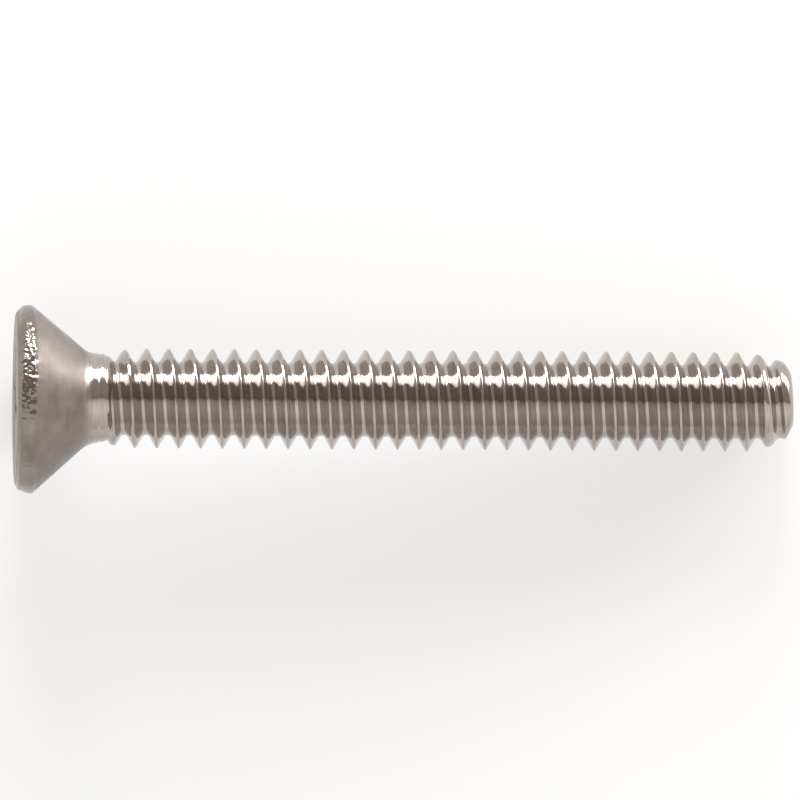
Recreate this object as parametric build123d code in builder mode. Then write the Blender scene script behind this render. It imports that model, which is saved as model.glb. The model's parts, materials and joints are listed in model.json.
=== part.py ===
from build123d import *
from math import asin, atan2, cos, degrees, hypot, radians, sin, tan
import os

# Countersunk machine screw, number 10 by one and a half inches, with a cross recess, in stainless steel.
# The screw is one piece. It lies on its side as it comes to rest on a table, on the rim of its head and on
# the far end of its rod, so its axis dips a little towards the tip. The origin is the centre of the flat
# face of the head, and +X runs from the head towards the tip. The rod has the outside diameter of the
# thread, which is left to the finish of the surface. Lengths are in millimetres, and angles in degrees.

# Whole screw, from the flat face of the head to the end of the tip
overall_length = 37.55

# Head: a flat face, a short rim and a countersunk cone
head_diameter = 9.11
rim_width = 0.80
cone_angle = 82.0
face_edge_radius = 0.40
rim_edge_radius = 0.15

# Neck: the bare shank between the cone and the thread, a little wider where the cone runs into it
neck_diameter = 4.14
neck_length = 0.96
neck_flare = 0.17
under_head_radius = 0.50

# Rod: the outside diameter of the thread, reached in two slopes over its first turns
thread_diameter = 4.826
first_rise = 0.20
run_in_length = 1.45

# Tip: a rolled taper and a rounded edge round the flat end
tip_taper_length = 1.60
tip_taper_angle = 20.0
tip_edge_radius = 0.35

# Cross recess for a number 2 driver, cut in the face of the head
recess_diameter = 5.18
recess_depth = 2.90
recess_wall_angle = 26.5
recess_floor_angle = 28.0
wing_width = 0.81
core_width = 1.50
recess_turn = 20.0

# The flats of the square core face the gaps between the wings, and the cutter starts out in the air
core_turn = 45.0
cutter_overlap = 0.30

# Radii and places along the axis, worked out from the sizes above
head_radius = head_diameter / 2
neck_radius = neck_diameter / 2
neck_root_radius = neck_radius + neck_flare
thread_radius = thread_diameter / 2
half_cone = radians(cone_angle / 2)
cone_end = rim_width + (head_radius - neck_root_radius) / tan(half_cone)
neck_end = cone_end + neck_length
thread_start = neck_end + run_in_length
tip_taper_start = overall_length - tip_taper_length
tip_radius = thread_radius - tip_taper_length * tan(radians(tip_taper_angle))

# Lying pose: the rounded edge of the rim and the end of the full rod both touch the table
rim_contact = rim_width - rim_edge_radius * tan(half_cone / 2)
contact_rise = head_radius - rim_edge_radius - thread_radius
contact_run = tip_taper_start - rim_contact
dip = atan2(contact_rise, contact_run) + asin(rim_edge_radius / hypot(contact_rise, contact_run))

# Axis of the screw, the upright plane through it (x along the axis, y out to the top) and the head's face
axis_direction = Vector(cos(dip), 0, -sin(dip))
screw_axis = Axis((0, 0, 0), axis_direction)
section_plane = Plane(origin=(0, 0, 0), x_dir=axis_direction, z_dir=(0, -1, 0))
face_plane = Plane(origin=(0, 0, 0), x_dir=(0, 1, 0), z_dir=axis_direction)

# Cutter for the recess: two crossed wings and a square core, inside a steep cone with a pointed floor
recess_radius = recess_diameter / 2
wall_slope = tan(radians(recess_wall_angle))
floor_slope = tan(radians(recess_floor_angle))
wall_depth = (recess_depth - recess_radius * floor_slope) / (1 - wall_slope * floor_slope)
floor_radius = recess_radius - wall_depth * wall_slope
wing_length = 2 * (recess_radius + cutter_overlap)
with BuildPart() as recess:
    with BuildSketch(section_plane):
        with BuildLine():
            Polyline(
                (-cutter_overlap, 0),
                (-cutter_overlap, recess_radius + cutter_overlap * wall_slope),
                (wall_depth, floor_radius),
                (recess_depth, 0),
                close=True,
            )
        make_face()
    revolve(axis=screw_axis)
    with BuildSketch(face_plane.offset(-cutter_overlap)):
        Rectangle(wing_length, wing_width, rotation=recess_turn)
        Rectangle(wing_width, wing_length, rotation=recess_turn)
        Rectangle(core_width, core_width, rotation=recess_turn + core_turn)
    extrude(amount=recess_depth + 2 * cutter_overlap, mode=Mode.INTERSECT)

# The screw in one turning: face, rim, cone, neck, run-in, rod, taper and rounded tip
with BuildPart() as screw:
    with BuildSketch(section_plane):
        with BuildLine():
            side = FilletPolyline(
                (0, 0),
                (0, head_radius),
                (rim_width, head_radius),
                (cone_end, neck_root_radius),
                (neck_end, neck_radius),
                (neck_end + first_rise, neck_radius + first_rise),
                (thread_start, thread_radius),
                (tip_taper_start, thread_radius),
                (overall_length, tip_radius),
                (overall_length, 0),
                radius=[face_edge_radius, rim_edge_radius, under_head_radius, 0, 0, 0, 0, tip_edge_radius],
            )
            Line(side @ 1, side @ 0)
        make_face()
    revolve(axis=screw_axis)
    add(recess.part, mode=Mode.SUBTRACT)

screw.part.label = "screw"

os.makedirs("parts", exist_ok=True)
export_step(screw.part, "parts/screw.step")
print(f"axis dips by {degrees(dip):.2f} degrees, table at z = {screw.part.bounding_box().min.Z:.3f}")
print(f"thread starts at {thread_start:.3f} and the tip's taper at {tip_taper_start:.3f}")
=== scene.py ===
import json
from math import asin, atan2, copysign, cos, pi, radians, sin, sqrt, tan

import bpy
import numpy as np
from mathutils import Matrix, Vector, noise


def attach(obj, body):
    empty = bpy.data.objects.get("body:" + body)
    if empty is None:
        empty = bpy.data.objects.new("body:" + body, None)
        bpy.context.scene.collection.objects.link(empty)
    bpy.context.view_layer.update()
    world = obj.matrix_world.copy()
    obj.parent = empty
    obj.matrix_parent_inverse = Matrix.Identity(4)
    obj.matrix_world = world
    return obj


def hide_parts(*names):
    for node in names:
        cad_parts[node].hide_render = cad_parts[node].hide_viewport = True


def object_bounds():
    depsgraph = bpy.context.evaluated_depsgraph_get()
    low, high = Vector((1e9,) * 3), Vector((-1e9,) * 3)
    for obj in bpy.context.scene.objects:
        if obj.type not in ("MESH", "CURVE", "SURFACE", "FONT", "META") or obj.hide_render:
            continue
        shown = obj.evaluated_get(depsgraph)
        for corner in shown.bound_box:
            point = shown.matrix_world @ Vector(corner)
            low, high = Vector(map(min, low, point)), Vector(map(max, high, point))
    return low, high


# Looks of the countersunk machine screw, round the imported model. The screw is one closed mesh, screw_body,
# which stands for the solid named screw: a head with a cross recess, a rough rim and a smooth cone, a neck, a
# rolled helical thread and a tapered tip. It lies on a white table under three soft lights, with the camera
# straight above it. Lengths are in metres, and written in millimetres times MM.
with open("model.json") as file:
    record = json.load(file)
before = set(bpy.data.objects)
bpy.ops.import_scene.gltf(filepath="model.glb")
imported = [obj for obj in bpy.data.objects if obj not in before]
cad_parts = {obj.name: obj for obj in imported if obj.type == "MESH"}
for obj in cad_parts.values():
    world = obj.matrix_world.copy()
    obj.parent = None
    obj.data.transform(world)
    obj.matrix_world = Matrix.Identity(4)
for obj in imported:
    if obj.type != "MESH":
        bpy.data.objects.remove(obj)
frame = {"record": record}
cad_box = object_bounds()

MM = 0.001


def mount(name):
    """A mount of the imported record, by its name."""
    return next(m for m in frame["record"]["mounts"] if m["name"] == name)


# The screw's own frame: its axis from the head's face to the tip, the table's side direction, and the side
# of the screw that faces up
face_centre = Vector(mount("head_face")["pos_m"])
axis = Vector(mount("thread")["axis"]).normalized()
side = Vector((0, 1, 0))
up = axis.cross(side)

# Rod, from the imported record: the outside diameter of its thread, and where it starts and ends
crest_radius = mount("thread")["dims"]["r_mm"] * MM
rod_middle = (Vector(mount("thread")["pos_m"]) - face_centre).dot(axis)
rod_half = mount("thread")["dims"]["length_mm"] / 2 * MM
overall_length = 37.55 * MM

# Head: a flat face, a rim that sits a little off the axis, and a cone
head_radius = 4.555 * MM
rim_width = 0.80 * MM
half_cone = radians(41)
rim_edge_radius = 0.18 * MM
rim_offset = -0.09 * MM

# Headed steel is uneven: the edge of the face is round on the +Y side and bevelled on the -Y side, and the
# corner between the cone and the neck is tighter on the +Y side. For each of these two sides: how far the
# face ends inside the rim, how wide the edge is, how far its outer end lies inside the rim, and the radii of
# the corners at the face, at the rim and at the neck.
edge_shapes = (
    {"drop": 0.36 * MM, "width": 0.36 * MM, "slant": 0.00 * MM,
     "face_corner": 0.38 * MM, "land_corner": 0.38 * MM, "neck_corner": 0.80 * MM},
    {"drop": 0.50 * MM, "width": 0.13 * MM, "slant": 0.21 * MM,
     "face_corner": 0.08 * MM, "land_corner": 0.15 * MM, "neck_corner": 1.60 * MM},
)

# Neck: the bare shank, with faint rings
neck_radius = 2.07 * MM
neck_flare = 0.17 * MM
neck_length = 0.96 * MM
neck_ring_height = 0.016 * MM
neck_ring_spacing = 0.34 * MM

# Thread: 60 degrees between its flanks, a narrow flat crest and a rounded root
pitch = 25.4 / 24 * MM
thread_phase = 1.0385 * MM
thread_depth = 0.61343 * pitch
flank_tilt = radians(30)
crest_half_width = 0.045 * MM
crest_rounding = 0.035 * MM
root_radius = crest_radius - thread_depth
root_rounding = (pitch / 2 - crest_half_width) / tan(flank_tilt) - thread_depth

# Run-in of the thread at the neck, where its groove deepens. The bare outline passes the crests of the full
# rod by a little headroom, so that they keep their form there.
first_rise = 0.20 * MM
groove_fade_start = 4.30 * MM
groove_fade_end = 4.85 * MM
crest_headroom = 0.05 * MM
blend_width = 0.035 * MM

# Tip: the crests bend down before the end of the rod and end in a round edge, which is worn off at a slant on
# the -Y side and a little less on the +Y side. The end face is hollow and leans a little.
taper_start = rod_middle + rod_half - 0.15 * MM
taper_angle = radians(16.5)
taper_bend_width = 0.12 * MM
taper_blend_width = 0.15 * MM
tip_edge_radius = 0.42 * MM
tip_cut_radii = (1.52 * MM, 1.18 * MM)
tip_cut_angle = radians(63.5)
tip_cut_top_gap = 0.60 * MM
tip_cut_blend_width = 0.08 * MM
tip_dish = 0.10 * MM
tip_dish_power = 1.5
tip_lean = radians(2.4)
tip_lean_length = 1.0 * MM

# Cross recess, and the band of the face round its mouth
recess_radius = 2.59 * MM
recess_depth = 2.90 * MM
recess_wall_angle = radians(26.5)
recess_floor_angle = radians(28)
recess_floor_reach = 0.82 * MM
recess_draft = 0.05 * MM
wing_half_width = 0.405 * MM
core_flat = 0.75 * MM
recess_turn = radians(20)
recess_mouth_rounding = 0.07 * MM
mouth_band = 2.5 * recess_mouth_rounding

# Unevenness of the surfaces: the height of its lumps and their size. The rim is rough on one side, between
# the top and the +Y side, and nearly smooth elsewhere. Finer lumps add a share of the height of the others.
rim_lumps = (0.080 * MM, 0.20 * MM)
edge_lumps = (0.010 * MM, 0.30 * MM)
cone_lumps = (0.006 * MM, 0.80 * MM)
thread_lumps = (0.005 * MM, 0.40 * MM)
rim_rough_side = radians(68)
rim_rough_reach = radians(50)
rim_rough_least = 0.17
fine_lump_share = 0.5
fine_lump_shift = Vector((7, 3, 5))

# Streaks of the finish: their width along the head's outline and in the recess, their length along the
# screw's thread, and how much they change round the head and over one turn of the thread
head_streak_width = 0.30 * MM
recess_streak_width = 0.40 * MM
thread_streak_length = 1.3 * MM
head_streak_change = 0.8
thread_streak_change = 3.4

# Fineness of the mesh: points round the thread and the tip, round the cone, and round the rim
around = 128
around_cone = 2 * around
around_rim = 2 * around_cone

# Steps along the outline of the head
face_corner_steps = 3
edge_steps = 2
rim_corner_steps = 4
rim_steps = 9
cone_steps = 14
neck_corner_steps = 8

# Steps along half a turn of the thread, along the rounded mouth of the recess, and points on a wing's end
crest_steps = 2
flank_steps = 3
root_steps = 3
mouth_steps = 4
wing_points = 9

# Rings of the face, of the recess's walls and floor, and of the tip's end face, as shares of the way
face_shares = (0.0, 0.33, 0.66)
wall_shares = (0.25, 0.5, 0.75, 1.0)
floor_shares = (0.3, 0.6, 1.0)
tip_shares = (0.9, 0.8, 0.6, 0.4, 0.2)

# Edges that are sharper than this are shaded as edges
sharp_angle = radians(38)

# Zones of the surface, for its finish and for the painted shade on the head
THREAD = 0.0
HEAD = 1.0
RIM = 2.0


class Surface:
    """A mesh put together from rings of points, with streak coordinates and a zone for each point."""

    def __init__(self):
        self.points = []
        self.grains = []
        self.zones = []
        self.faces = []

    def add(self, points, grains, zone):
        """Adds points, with the streak coordinates of each and the zone of all. Returns their numbers."""
        first = len(self.points)
        self.points.extend(tuple(p) for p in points)
        self.grains.extend(tuple(g) for g in grains)
        self.zones.extend([zone] * len(points))
        return list(range(first, len(self.points)))

    def face(self, corners):
        """Adds a face, without the corners that come twice, if three or more are left."""
        kept = [c for i, c in enumerate(corners) if c != corners[i - 1]]
        if len(kept) > 2:
            self.faces.append(kept)

    def bridge(self, near, far):
        """Joins two closed rings, where the near one has as many points as the far one or twice as many.

        The faces look away from the axis where the far ring lies nearer to the tip."""
        if len(near) == len(far):
            for i in range(len(far)):
                self.face([near[i - 1], near[i], far[i], far[i - 1]])
        else:
            for i in range(len(far)):
                self.face([near[2 * i - 2], near[2 * i - 1], far[i - 1]])
                self.face([near[2 * i - 1], near[2 * i], far[i], far[i - 1]])

    def close(self, ring, centre):
        """Closes a ring with triangles to a point. They look towards the tip."""
        for i in range(len(ring)):
            self.face([ring[i - 1], ring[i], centre])

    def fill(self, outer, outer_angles, inner, inner_angles):
        """Fills the band between two closed rings whose points go round by growing angle.

        The faces look away from the tip."""
        i = j = 0
        while i < len(outer) or j < len(inner):
            a = outer_angles[i] if i < len(outer) else 2 * pi + outer_angles[0]
            b = inner_angles[j] if j < len(inner) else 2 * pi + inner_angles[0]
            outer_now = outer[(i - 1) % len(outer)]
            inner_now = inner[(j - 1) % len(inner)]
            if (a <= b and i < len(outer)) or j >= len(inner):
                self.face([outer[i], outer_now, inner_now])
                i += 1
            else:
                self.face([inner[j], outer_now, inner_now])
                j += 1


def place(distance, radius, angle, shift=0.0):
    """Point at a distance along the axis, and at a radius and an angle about it.

    The angle grows from the table's +Y side over the top of the screw, as the thread does with distance."""
    sideways = radius * cos(angle) + shift
    return face_centre + axis * distance + side * sideways + up * (radius * sin(angle))


def angles(count):
    """Evenly spaced angles round the axis."""
    return [2 * pi * i / count for i in range(count)]


def arc(centre, radius, start, end, steps):
    """Points of an arc of an outline, with both ends."""
    turns = [start + (end - start) * i / steps for i in range(steps + 1)]
    return [(centre[0] + radius * cos(t), centre[1] + radius * sin(t)) for t in turns]


def corner_arc(before, corner, after, radius, steps):
    """Points of the arc that rounds a corner of an outline, with both ends."""
    to_before = (Vector(before) - Vector(corner)).normalized()
    to_after = (Vector(after) - Vector(corner)).normalized()
    half_gap = to_before.angle(to_after) / 2
    centre = Vector(corner) + (to_before + to_after).normalized() * radius / sin(half_gap)
    first = Vector(corner) + to_before * radius / tan(half_gap) - centre
    last = Vector(corner) + to_after * radius / tan(half_gap) - centre
    start = atan2(first.y, first.x)
    turn = copysign(pi - 2 * half_gap, first.x * last.y - first.y * last.x)
    return arc(centre, radius, start, start + turn, steps)


def between(start, end, steps):
    """Points of a straight line of an outline, without its ends."""
    shares = [i / steps for i in range(1, steps)]
    return [(start[0] + (end[0] - start[0]) * t, start[1] + (end[1] - start[1]) * t) for t in shares]


def rough(point, lumps):
    """A small height at a point, from lumps of a size and of half that size."""
    amount, size = lumps
    scaled = Vector(point) / size
    return amount * (noise.noise(scaled) + fine_lump_share * noise.noise(2 * scaled + fine_lump_shift))


def smooth(share):
    """A number from 0 to 1 that eases in and out as the share goes from 0 to 1."""
    kept = np.clip(share, 0, 1)
    return kept * kept * (3 - 2 * kept)


# Head

cone_end = rim_width + (head_radius - neck_radius - neck_flare) / tan(half_cone)
neck_end = cone_end + neck_length
neck_slope = atan2(neck_flare, neck_length)

# Parts of the head's outline in turn: the points round each of its rings, the zone at its start and at its
# end, and its lumps. The finish of the head, with its painted shade, fades into that of the thread along the
# corner at the neck.
head_parts = (
    (around_rim, HEAD, HEAD, edge_lumps),
    (around_rim, RIM, RIM, rim_lumps),
    (around_rim, RIM, RIM, rim_lumps),
    (around_cone, HEAD, HEAD, cone_lumps),
    (around_cone, HEAD, THREAD, cone_lumps),
)


def head_outline(shape):
    """Outline of the head on one side: the corner at the face, the land with its corner, the rim's edge, the
    cone and the corner at the neck, each as a list of (distance, radius)."""
    face_edge = (0, head_radius - shape["drop"])
    land_edge = (shape["width"], head_radius - shape["slant"])
    rim_end = (rim_width, head_radius)
    cone_foot = (cone_end, neck_radius + neck_flare)
    neck_foot = (neck_end, neck_radius)
    face_corner = corner_arc((0, 0), face_edge, land_edge, shape["face_corner"], face_corner_steps)
    land_corner = corner_arc(face_edge, land_edge, rim_end, shape["land_corner"], rim_corner_steps)
    rim_corner = corner_arc(land_edge, rim_end, cone_foot, rim_edge_radius, rim_corner_steps)
    neck_corner = corner_arc(rim_end, cone_foot, neck_foot, shape["neck_corner"], neck_corner_steps)
    land = [*between(face_corner[-1], land_corner[0], edge_steps), *land_corner]
    land += between(land_corner[-1], rim_corner[0], rim_steps)
    cone = between(rim_corner[-1], neck_corner[0], cone_steps)
    return face_corner, land, rim_corner, cone, neck_corner


def head_grain(distance, radius, angle):
    """Streak coordinates on the head: they change fast along its outline and slowly round it."""
    along = (distance - radius) / head_streak_width
    return (along, head_streak_change * cos(angle), head_streak_change * sin(angle))


def head_ring(surface, near, far, count, zone, lumps):
    """Adds one ring of the head, between its outline point on the +Y side and the one on the -Y side."""
    points = []
    grains = []
    for angle in angles(count):
        share = (1 - cos(angle)) / 2
        distance = near[0] + (far[0] - near[0]) * share
        radius = near[1] + (far[1] - near[1]) * share
        shift = rim_offset * min(1.0, max(0.0, (cone_end - distance) / (cone_end - rim_width)))
        height = rough(place(distance, radius, angle), lumps)
        if zone == RIM:
            gap = pi - abs(pi - abs(angle - rim_rough_side))
            height *= rim_rough_least + (1 - rim_rough_least) * float(smooth(1 - gap / rim_rough_reach))
        points.append(place(distance, radius + height, angle, shift))
        grains.append(head_grain(distance, radius, angle))
    return surface.add(points, grains, zone)


# Thread

def thread_section():
    """One turn of the thread in section, as (offset, radius) from one crest's middle to the next."""
    corner = crest_rounding * tan((pi / 2 - flank_tilt) / 2)
    crest_centre = (crest_half_width - corner, crest_radius - crest_rounding)
    shoulder = arc(crest_centre, crest_rounding, pi / 2, flank_tilt, crest_steps)
    root_centre = (pitch / 2, root_radius + root_rounding)
    root = arc(root_centre, root_rounding, pi + flank_tilt, 3 * pi / 2, root_steps)
    half = [*shoulder, *between(shoulder[-1], root[0], flank_steps), *root]
    mirrored = [(pitch - x, r) for x, r in reversed(half[:-1])]
    return half + mirrored


def soft_least(a, b, width):
    """The lesser of two numbers, rounded where they cross."""
    return (a + b - np.sqrt((a - b) ** 2 + width**2)) / 2


def tip_outline(run):
    """Distance and radius of the bare outline at a run along it, and the run at its end.

    The run is the distance along the axis up to the tip's round edge, and then goes on round that edge."""
    tangent = tip_edge_radius * tan((pi / 2 - taper_angle) / 2)
    tip_radius = crest_radius - (overall_length - taper_start) * tan(taper_angle)
    edge_start = overall_length - tangent * cos(taper_angle)
    edge_start_radius = tip_radius + tangent * sin(taper_angle)
    edge_middle = edge_start - tip_edge_radius * sin(taper_angle)
    edge_middle_radius = edge_start_radius - tip_edge_radius * cos(taper_angle)
    turn = np.clip((run - edge_start) / tip_edge_radius, 0, pi / 2 - taper_angle)
    direction = pi / 2 - taper_angle - turn
    on_edge = run > edge_start
    distance = np.where(on_edge, edge_middle + tip_edge_radius * np.cos(direction), run)
    taper = crest_radius - (run - taper_start) * tan(taper_angle)
    radius = np.where(on_edge, edge_middle_radius + tip_edge_radius * np.sin(direction), taper)
    radius = soft_least(radius, crest_radius + crest_headroom, taper_bend_width)
    run_end = edge_start + tip_edge_radius * (pi / 2 - taper_angle)
    return distance, radius, run_end


def cut_tip(distance, radius, angle):
    """Radius of the tip's outline at an angle, with the slanted cuts on its two sides."""
    near, far = tip_cut_radii
    end_radius = near + (far - near) * (1 - np.cos(angle)) / 2 + tip_cut_top_gap * np.sin(angle) ** 2
    cut = end_radius + (overall_length - distance) * tan(tip_cut_angle)
    return soft_least(radius, cut, tip_cut_blend_width)


def run_in_outline(run):
    """Radius of the bare outline near the neck, where the crests grow from it."""
    ceiling = crest_radius + crest_headroom
    rise_start = neck_end + first_rise
    slope = (crest_radius - neck_radius - first_rise) / (rod_middle - rod_half - rise_start)
    rings = neck_ring_height * np.sin(2 * pi * (run - cone_end) / neck_ring_spacing)
    neck = neck_radius + (neck_end - run) * tan(neck_slope) + rings
    steep = neck_radius + (run - neck_end)
    gentle = neck_radius + first_rise + (run - rise_start) * slope
    return np.minimum(np.maximum(neck, np.minimum(steep, gentle)), ceiling)


def thread_radius(run, section_radius, angle):
    """Distance along the axis and radius of the threaded surface, at a run along its outline and an angle."""
    distance, taper, _ = tip_outline(run)
    ceiling = np.minimum(run_in_outline(run), cut_tip(distance, taper, angle))
    on_taper = smooth((run - taper_start) / pitch + 0.5)
    width = blend_width + (taper_blend_width - blend_width) * on_taper
    radius = soft_least(ceiling, section_radius, width)
    fade = smooth((run - groove_fade_start) / (groove_fade_end - groove_fade_start))
    floor = ceiling - (ceiling - root_radius) * fade
    radius = np.where(fade < 1, -soft_least(-radius, -floor, blend_width * (1 - fade)), radius)
    return distance, radius


def thread_point(distance, radius, angle):
    """Point of the threaded part or the tip, with its small unevenness and the lean of the tip's face."""
    share = smooth((distance - overall_length) / tip_lean_length + 1)
    lean = tan(tip_lean) * radius * cos(angle) * float(share)
    height = rough(place(distance, radius, angle), thread_lumps)
    return place(distance - lean, radius + height, angle)


def thread_grain(offset, distance):
    """Streak coordinates on the thread: they change fast across it and slowly along it."""
    turn = 2 * pi * offset / pitch
    along = distance / thread_streak_length
    return (thread_streak_change * cos(turn), thread_streak_change * sin(turn), along)


def add_thread(surface, start, end):
    """Adds the thread between two runs along the outline. Its rows of points wind with the crests.

    Returns the closed rings of points at its two ends."""
    section_offsets, section_radii = (list(values) for values in zip(*thread_section()))
    rows = len(section_offsets)
    first_turn = int((start - pitch - thread_phase) // pitch)
    last_turn = int((end - thread_phase) // pitch) + 1
    turns = np.arange(first_turn, last_turn + 1)
    offsets = np.tile(section_offsets, len(turns))
    radii = np.tile(section_radii, len(turns))
    base = thread_phase + np.repeat(turns, rows) * pitch + offsets

    def end_ring(run):
        """Adds the closed ring at one run, where the surface is that of the thread's section."""
        runs = np.full(around, run)
        phase = (runs - thread_phase) / pitch - np.arange(around) / around
        ring_offsets = (phase - np.floor(phase)) * pitch
        ring_radii = np.interp(ring_offsets, section_offsets + [pitch], section_radii + [crest_radius])
        distances, ring_radii = thread_radius(runs, ring_radii, np.array(angles(around)))
        points = [thread_point(d, r, a) for d, r, a in zip(distances, ring_radii, angles(around))]
        grains = [thread_grain(o, d) for o, d in zip(ring_offsets, distances)]
        return surface.add(points, grains, THREAD)

    first_ring = end_ring(start)
    last_ring = end_ring(end)
    columns = []
    for i, angle in enumerate(angles(around)):
        run = base + pitch * i / around
        distance, radius = thread_radius(run, radii, angle)
        kept = np.nonzero((run > start) & (run < end))[0]
        points = [thread_point(distance[k], radius[k], angle) for k in kept]
        grains = [thread_grain(offsets[k], distance[k]) for k in kept]
        column = np.where(run <= start, first_ring[i], last_ring[i])
        column[kept] = surface.add(points, grains, THREAD)
        columns.append([int(c) for c in column])

    # The last column meets the first one turn of the thread further on. All faces look away from the axis.
    for i in range(around - 1):
        for j in range(len(base) - 1):
            surface.face([columns[i][j], columns[i + 1][j], columns[i + 1][j + 1], columns[i][j + 1]])
    last, first = columns[-1], columns[0]
    for j in range(len(base) - 1 - rows):
        surface.face([last[j], first[j + rows], first[j + 1 + rows], last[j + 1]])
    return first_ring, last_ring


# Cross recess

def cross_outline(reach, half_width, flat):
    """Outline of a cross within a circle of a reach, with its four inner corners cut by flats."""
    corner = (flat * sqrt(2) - half_width, half_width)
    corner_reach = sqrt(corner[0] ** 2 + corner[1] ** 2)
    widest = atan2(corner[1], corner[0])
    half_angle = min(asin(min(1.0, half_width / reach)), widest)
    wing = [(reach * cos(t), reach * sin(t)) for t in np.linspace(-half_angle, half_angle, wing_points)]
    shrink = min(1.0, reach / corner_reach)
    first = (corner[0] * shrink, corner[1] * shrink)
    second = (first[1], first[0])
    quarter = [*wing, first, *between(first, second, 2), second]
    outline = []
    for turn in range(4):
        c = cos(turn * pi / 2 + recess_turn)
        s = sin(turn * pi / 2 + recess_turn)
        outline.extend((x * c - y * s, x * s + y * c) for x, y in quarter)
    return outline


def recess_levels():
    """Levels of the recess from its mouth to its floor, as (depth, reach, widening of its mouth)."""
    wall_slope = tan(recess_wall_angle)
    floor_slope = tan(recess_floor_angle)
    wall_depth = (recess_depth - recess_radius * floor_slope) / (1 - wall_slope * floor_slope)
    floor_reach = recess_radius - wall_depth * wall_slope
    levels = []
    for i in range(mouth_steps + 1):
        turn = i / mouth_steps * pi / 2
        widen = recess_mouth_rounding * (1 - sin(turn))
        levels.append((recess_mouth_rounding * (1 - cos(turn)), recess_radius, widen))
    for share in wall_shares:
        levels.append((wall_depth * share, recess_radius - wall_depth * share * wall_slope, 0.0))
    for share in floor_shares:
        reach = floor_reach + (recess_floor_reach - floor_reach) * share
        levels.append((recess_depth - reach * floor_slope, reach, 0.0))
    return levels


def add_recess(surface):
    """Adds the recess from its rounded mouth to its floor. Returns the points and angles of its mouth.

    Its faces look into the hollow, so the deeper ring of each pair comes first."""
    rings = []
    for depth, reach, widen in recess_levels():
        draft = recess_draft * depth / recess_depth
        outline = cross_outline(reach + widen, wing_half_width + widen - draft, core_flat + widen - 2 * draft)
        points = [face_centre + axis * depth + side * x + up * y for x, y in outline]
        along = depth / head_streak_width
        grains = [(along, x / recess_streak_width, y / recess_streak_width) for x, y in outline]
        rings.append((surface.add(points, grains, HEAD), outline))
    for (shallow, _), (deep, _) in zip(rings, rings[1:]):
        surface.bridge(deep, shallow)
    bottom = surface.add([face_centre + axis * recess_depth], [(0, 0, 0)], HEAD)
    surface.close(rings[-1][0][::-1], bottom[0])
    mouth, outline = rings[0]
    turns = [atan2(y, x) % (2 * pi) for x, y in outline]
    first = turns.index(min(turns))
    return mouth[first:] + mouth[:first], turns[first:] + turns[:first]


# Whole screw

def add_head(surface):
    """Adds the face with its recess, the rim and the cone. Returns the last ring and where it ends."""
    near_outline, far_outline = (head_outline(shape) for shape in edge_shapes)
    mouth, mouth_angles = add_recess(surface)
    ring_angles = angles(around_rim)
    face_reach = min(near_outline[0][0][1], far_outline[0][0][1])
    inner = recess_radius + mouth_band
    rings = []
    for share in face_shares:
        radius = inner + (face_reach - inner) * share
        points = [place(0, radius, a, rim_offset * share) for a in ring_angles]
        grains = [head_grain(0, radius, a) for a in ring_angles]
        rings.append(surface.add(points, grains, HEAD))
    surface.fill(rings[0], ring_angles, mouth, mouth_angles)
    for near_part, far_part, part in zip(near_outline, far_outline, head_parts):
        count, first_zone, last_zone, lumps = part
        for i, (near, far) in enumerate(zip(near_part, far_part)):
            zone = first_zone + (last_zone - first_zone) * i / (len(near_part) - 1)
            rings.append(head_ring(surface, near, far, count, zone, lumps))
    for near, far in zip(rings, rings[1:]):
        surface.bridge(near, far)
    return rings[-1], max(near_outline[-1][-1][0], far_outline[-1][-1][0])


def add_tip(surface, ring, run_end):
    """Closes the tip with a face that is a little hollow."""
    distance, radius, _ = tip_outline(np.array(run_end))
    turns = angles(around)
    reaches = [float(cut_tip(distance, radius, a)) for a in turns]
    rings = [ring]
    for share in tip_shares:
        depth = tip_dish * (1 - share**2) ** tip_dish_power
        points = [thread_point(float(distance) - depth, r * share, a) for r, a in zip(reaches, turns)]
        grains = [head_grain(0, r * share, a) for r, a in zip(reaches, turns)]
        rings.append(surface.add(points, grains, HEAD))
    for near, far in zip(rings, rings[1:]):
        surface.bridge(near, far)
    centre = surface.add([thread_point(float(distance) - tip_dish, 0, 0)], [(0, 0, 0)], HEAD)
    surface.close(rings[-1], centre[0])


def make_screw():
    """Builds the whole screw as one closed mesh."""
    surface = Surface()
    head_last, neck_start = add_head(surface)
    _, _, run_end = tip_outline(np.array(overall_length))
    first_ring, last_ring = add_thread(surface, neck_start + blend_width, run_end)
    surface.bridge(head_last, first_ring)
    add_tip(surface, last_ring, run_end)

    mesh = bpy.data.meshes.new("screw_body")
    mesh.from_pydata(surface.points, [], surface.faces)
    grain = mesh.attributes.new("grain", "FLOAT_VECTOR", "POINT")
    grain.data.foreach_set("vector", np.array(surface.grains, np.float32).ravel())
    zone = mesh.attributes.new("zone", "FLOAT", "POINT")
    zone.data.foreach_set("value", np.array(surface.zones, np.float32))
    mesh.update()
    mesh.validate()
    mesh.polygons.foreach_set("use_smooth", [True] * len(mesh.polygons))
    mesh.set_sharp_from_angle(angle=sharp_angle)
    screw = bpy.data.objects.new("screw_body", mesh)
    bpy.context.scene.collection.objects.link(screw)
    return screw


# Materials

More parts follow.
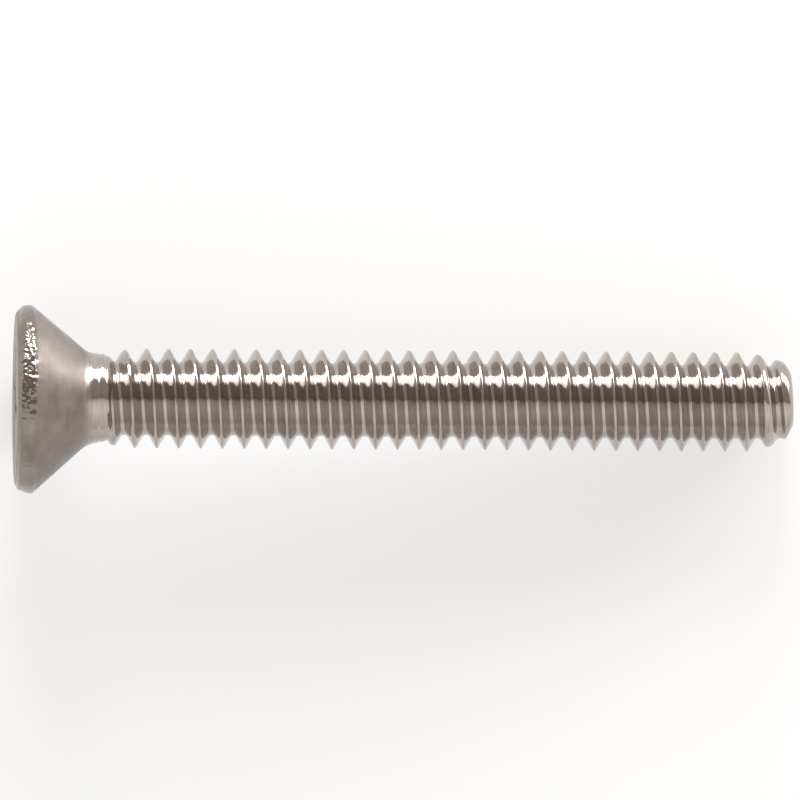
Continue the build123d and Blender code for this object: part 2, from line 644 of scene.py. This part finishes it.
class Nodes:
    """The node tree of a material or a world, with short ways to add nodes and links."""

    def __init__(self, owner):
        owner.use_nodes = True
        self.tree = owner.node_tree
        self.tree.nodes.clear()

    def node(self, kind, inputs=(), **settings):
        """Adds a node. inputs gives (socket, value or output) pairs, and settings its own options."""
        made = self.tree.nodes.new(kind)
        for key, value in settings.items():
            setattr(made, key, value)
        for socket, value in inputs:
            if isinstance(value, bpy.types.NodeSocket):
                self.tree.links.new(value, made.inputs[socket])
            else:
                made.inputs[socket].default_value = value
        return made

    def math(self, operation, *values):
        """Result of a maths node."""
        return self.node("ShaderNodeMath", enumerate(values), operation=operation).outputs[0]

    def span(self, value, from_low, from_high, to_low, to_high):
        """A value moved from one range to another."""
        inputs = ((0, value), (1, from_low), (2, from_high), (3, to_low), (4, to_high))
        return self.node("ShaderNodeMapRange", inputs).outputs[0]

    def texture(self, where, scale, detail, roughness=0.5):
        """A noise texture's value."""
        inputs = (("Vector", where), ("Scale", scale), ("Detail", detail), ("Roughness", roughness))
        return self.node("ShaderNodeTexNoise", inputs).outputs["Fac"]

    def ramp(self, value, stops):
        """Colour of a ramp with (position, (red, green, blue)) stops."""
        made = self.node("ShaderNodeValToRGB", ((0, value),))
        elements = made.color_ramp.elements
        while len(elements) < len(stops):
            elements.new(1.0)
        for element, (position, colour) in zip(elements, stops):
            element.position = position
            element.color = (*colour, 1)
        return made.outputs["Color"]

    def bump(self, height, strength, distance, *under):
        """Normal of a surface with small heights, on top of another normal if one is given."""
        inputs = [("Height", height), ("Strength", strength), ("Distance", distance)]
        inputs.extend(("Normal", normal) for normal in under)
        return self.node("ShaderNodeBump", inputs).outputs[0]


# Steel: its darkest and lightest colour, and what the streaks, the blotches and the painted shade on the head
# add to its tone
dark_steel = (0.215, 0.180, 0.159)
light_steel = (0.515, 0.462, 0.430)
lightest_tone = 0.8
streak_tone = 0.75
blotch_tone = 0.5
# Painted shade: the head is made darker, to stand in for the darker surroundings that its cone shows
head_painted_shade = -0.21

# Strength of the streaks on the head, and what the streaks, the head and the rim add to the roughness
head_streak_share = 0.3
least_roughness = 0.08
streak_roughness = 0.08
head_roughness = 0.30
rim_roughness = -0.20

# Depth of the streaks and of the pits, and the share of the pits off the rim and what the rim adds to it
streak_depth = 0.004 * MM
pit_depth = 0.02 * MM
pit_share = 0.1
rim_pit_share = 0.9


def stainless():
    """Rolled and turned stainless steel: warm, with streaks along the thread, rougher on the head and darker
    on it with painted shade, and rough on the rim."""
    material = bpy.data.materials.new("stainless")
    n = Nodes(material)
    position = n.node("ShaderNodeTexCoord").outputs["Object"]
    grain = n.node("ShaderNodeAttribute", attribute_name="grain").outputs["Vector"]
    zone = n.node("ShaderNodeAttribute", attribute_name="zone").outputs["Fac"]
    on_head = n.span(zone, THREAD, HEAD, 0.0, 1.0)
    on_rim = n.span(zone, HEAD, RIM, 0.0, 1.0)
    streaks = n.texture(grain, scale=1.6, detail=4, roughness=0.6)
    streaks = n.math("MULTIPLY", streaks, n.span(zone, THREAD, HEAD, 1.0, head_streak_share))
    blotches = n.texture(position, scale=900, detail=3)
    pits = n.texture(position, scale=5200, detail=2)

    # Painted shade: darkens the head, for the darker surroundings that its cone shows
    tone = n.math("MULTIPLY", on_head, head_painted_shade)
    tone = n.math("MULTIPLY_ADD", blotches, blotch_tone, tone)
    tone = n.math("MULTIPLY_ADD", streaks, streak_tone, tone)
    colour = n.ramp(tone, ((0.0, dark_steel), (lightest_tone, light_steel)))

    roughness = n.math("MULTIPLY_ADD", streaks, streak_roughness, least_roughness)
    roughness = n.math("MULTIPLY_ADD", on_head, head_roughness, roughness)
    roughness = n.math("MULTIPLY_ADD", on_rim, rim_roughness, roughness)

    pit_height = n.math("MULTIPLY", pits, n.math("MULTIPLY_ADD", on_rim, rim_pit_share, pit_share))
    streaked = n.bump(streaks, 0.35, streak_depth)
    pitted = n.bump(pit_height, 0.7, pit_depth, streaked)

    inputs = (("Metallic", 1.0), ("Base Color", colour), ("Roughness", roughness), ("Normal", pitted))
    shader = n.node("ShaderNodeBsdfPrincipled", inputs)
    n.node("ShaderNodeOutputMaterial", ((0, shader.outputs[0]),))
    return material


# Table: its paint, and the share of plain white in what the camera and the metal see of it
table_reach = 3.0
table_paint = (0.92, 0.92, 0.92, 1)
plain_white = (1, 1, 1, 1)
table_plain_share = 0.50


def table_white():
    """White table that keeps the screw's shadow, because only part of it is plain white."""
    material = bpy.data.materials.new("table_white")
    n = Nodes(material)
    path = n.node("ShaderNodeLightPath")
    seen = n.math("MAXIMUM", path.outputs["Is Camera Ray"], path.outputs["Is Glossy Ray"])
    seen = n.math("MAXIMUM", seen, path.outputs["Is Transmission Ray"])
    share = n.math("MULTIPLY", seen, table_plain_share)
    paint = n.node("ShaderNodeBsdfDiffuse", (("Color", table_paint),))
    white = n.node("ShaderNodeEmission", (("Color", plain_white), ("Strength", 1.0)))
    mixed = n.node("ShaderNodeMixShader", ((0, share), (1, paint.outputs[0]), (2, white.outputs[0])))
    n.node("ShaderNodeOutputMaterial", ((0, mixed.outputs[0]),))
    return material


# Stage

# Tints of the studio: pale walls, and a warm ceiling
WALL = (1.0, 0.99, 0.98)
CEILING = (1.0, 0.87, 0.79)

# Studio by its lean from straight above, in degrees, with +Y on the plus side: its brightness and its tint.
# Its ceiling is dark from straight above to the soft box, and the wall on the -Y side darkens downwards.
studio_level = 1.23
studio_tones = (
    (-90, 0.64, WALL),
    (-76, 0.68, WALL),
    (-60, 0.80, WALL),
    (-40, 0.92, WALL),
    (-23, 0.87, WALL),
    (-6, 0.68, WALL),
    (-1, 0.27, CEILING),
    (3, 0.26, CEILING),
    (9, 0.33, CEILING),
    (54, 0.36, CEILING),
    (57, 1.00, WALL),
    (84, 1.00, WALL),
    (86, 0.40, WALL),
    (90, 0.40, WALL),
)

# Soft lights, all at one distance: a box on the +Y side, a brighter strip in it straight across from the
# screw, and a low panel towards the tip that lights the cone. Each has a lean from straight above and a turn
# from the +Y side towards the tip, in degrees, the place of its middle towards the tip, its width and its
# depth, in metres, and a brightness.
light_distance = 1.0
soft_lights = (
    {"name": "soft_box", "lean": 70.5, "turn": 0, "middle": 0.75,
     "width": 2.00, "depth": 0.50, "brightness": 3.2},
    {"name": "strip", "lean": 73.0, "turn": 0, "middle": 0.00,
     "width": 0.36, "depth": 0.40, "brightness": 11.0},
    {"name": "low_panel", "lean": 83.0, "turn": 42, "middle": 0.00,
     "width": 0.60, "depth": 0.22, "brightness": 20.0},
)

# Camera straight above the screw, turned a little so that the tip lies lower in the picture
image_size = 800
metres_a_pixel = 0.048326 * MM
middle_distance = 18.606 * MM
camera_height = 670 * MM
camera_roll = radians(0.34)
camera_target = face_centre + axis * middle_distance
camera_nearest = 0.05
camera_farthest = 20
sensor_width = 36


def add_table():
    """A large white table under the lowest point of the screw."""
    height = cad_box[0].z
    mesh = bpy.data.meshes.new("table")
    signs = ((-1, -1), (1, -1), (1, 1), (-1, 1))
    corners = [(x * table_reach, y * table_reach, height) for x, y in signs]
    mesh.from_pydata(corners, [], [(0, 1, 2, 3)])
    mesh.materials.append(table_white())
    table = bpy.data.objects.new("table", mesh)
    bpy.context.scene.collection.objects.link(table)


def add_studio():
    """The studio round the screw, which its metal shows."""
    world = bpy.data.worlds.new("studio")
    bpy.context.scene.world = world
    n = Nodes(world)
    direction = n.node("ShaderNodeTexCoord").outputs["Generated"]
    split = n.node("ShaderNodeSeparateXYZ", ((0, direction),))
    lean = n.math("ARCTAN2", split.outputs["Y"], split.outputs["Z"])
    position = n.span(lean, -pi / 2, pi / 2, 0.0, 1.0)
    stops = [(degrees / 180 + 0.5, [tone * part for part in tint]) for degrees, tone, tint in studio_tones]
    background = n.node("ShaderNodeBackground", ((0, n.ramp(position, stops)), (1, studio_level)))
    n.node("ShaderNodeOutputWorld", ((0, background.outputs[0]),))


def add_soft_light(plan):
    """A soft light that faces the screw."""
    light = bpy.data.lights.new(plan["name"], "AREA")
    light.shape = "RECTANGLE"
    light.size = plan["width"]
    light.size_y = plan["depth"]
    light.energy = plan["brightness"] * pi * light.size * light.size_y
    lamp = bpy.data.objects.new(plan["name"], light)
    lean = radians(plan["lean"])
    turned = Matrix.Rotation(-radians(plan["turn"]), 4, "Z")
    middle = Matrix.Translation((plan["middle"], sin(lean) * light_distance, cos(lean) * light_distance))
    lamp.matrix_world = Matrix.Translation(camera_target) @ turned @ middle @ Matrix.Rotation(-lean, 4, "X")
    bpy.context.scene.collection.objects.link(lamp)


def add_camera():
    """Camera with a long lens, which frames the screw as the photograph does."""
    camera = bpy.data.cameras.new("camera")
    camera.sensor_width = sensor_width
    camera.lens = sensor_width * camera_height / (image_size * metres_a_pixel)
    camera.clip_start = camera_nearest
    camera.clip_end = camera_farthest
    holder = bpy.data.objects.new("camera", camera)
    above = camera_target + Vector((0, 0, camera_height))
    holder.matrix_world = Matrix.Translation(above) @ Matrix.Rotation(camera_roll, 4, "Z")
    bpy.context.scene.collection.objects.link(holder)
    bpy.context.scene.camera = holder


screw = make_screw()
screw.data.materials.append(stainless())
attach(screw, "root")
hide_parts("screw")

add_table()
add_studio()
for soft_light in soft_lights:
    add_soft_light(soft_light)
add_camera()
bpy.context.scene.view_settings.view_transform = "Standard"
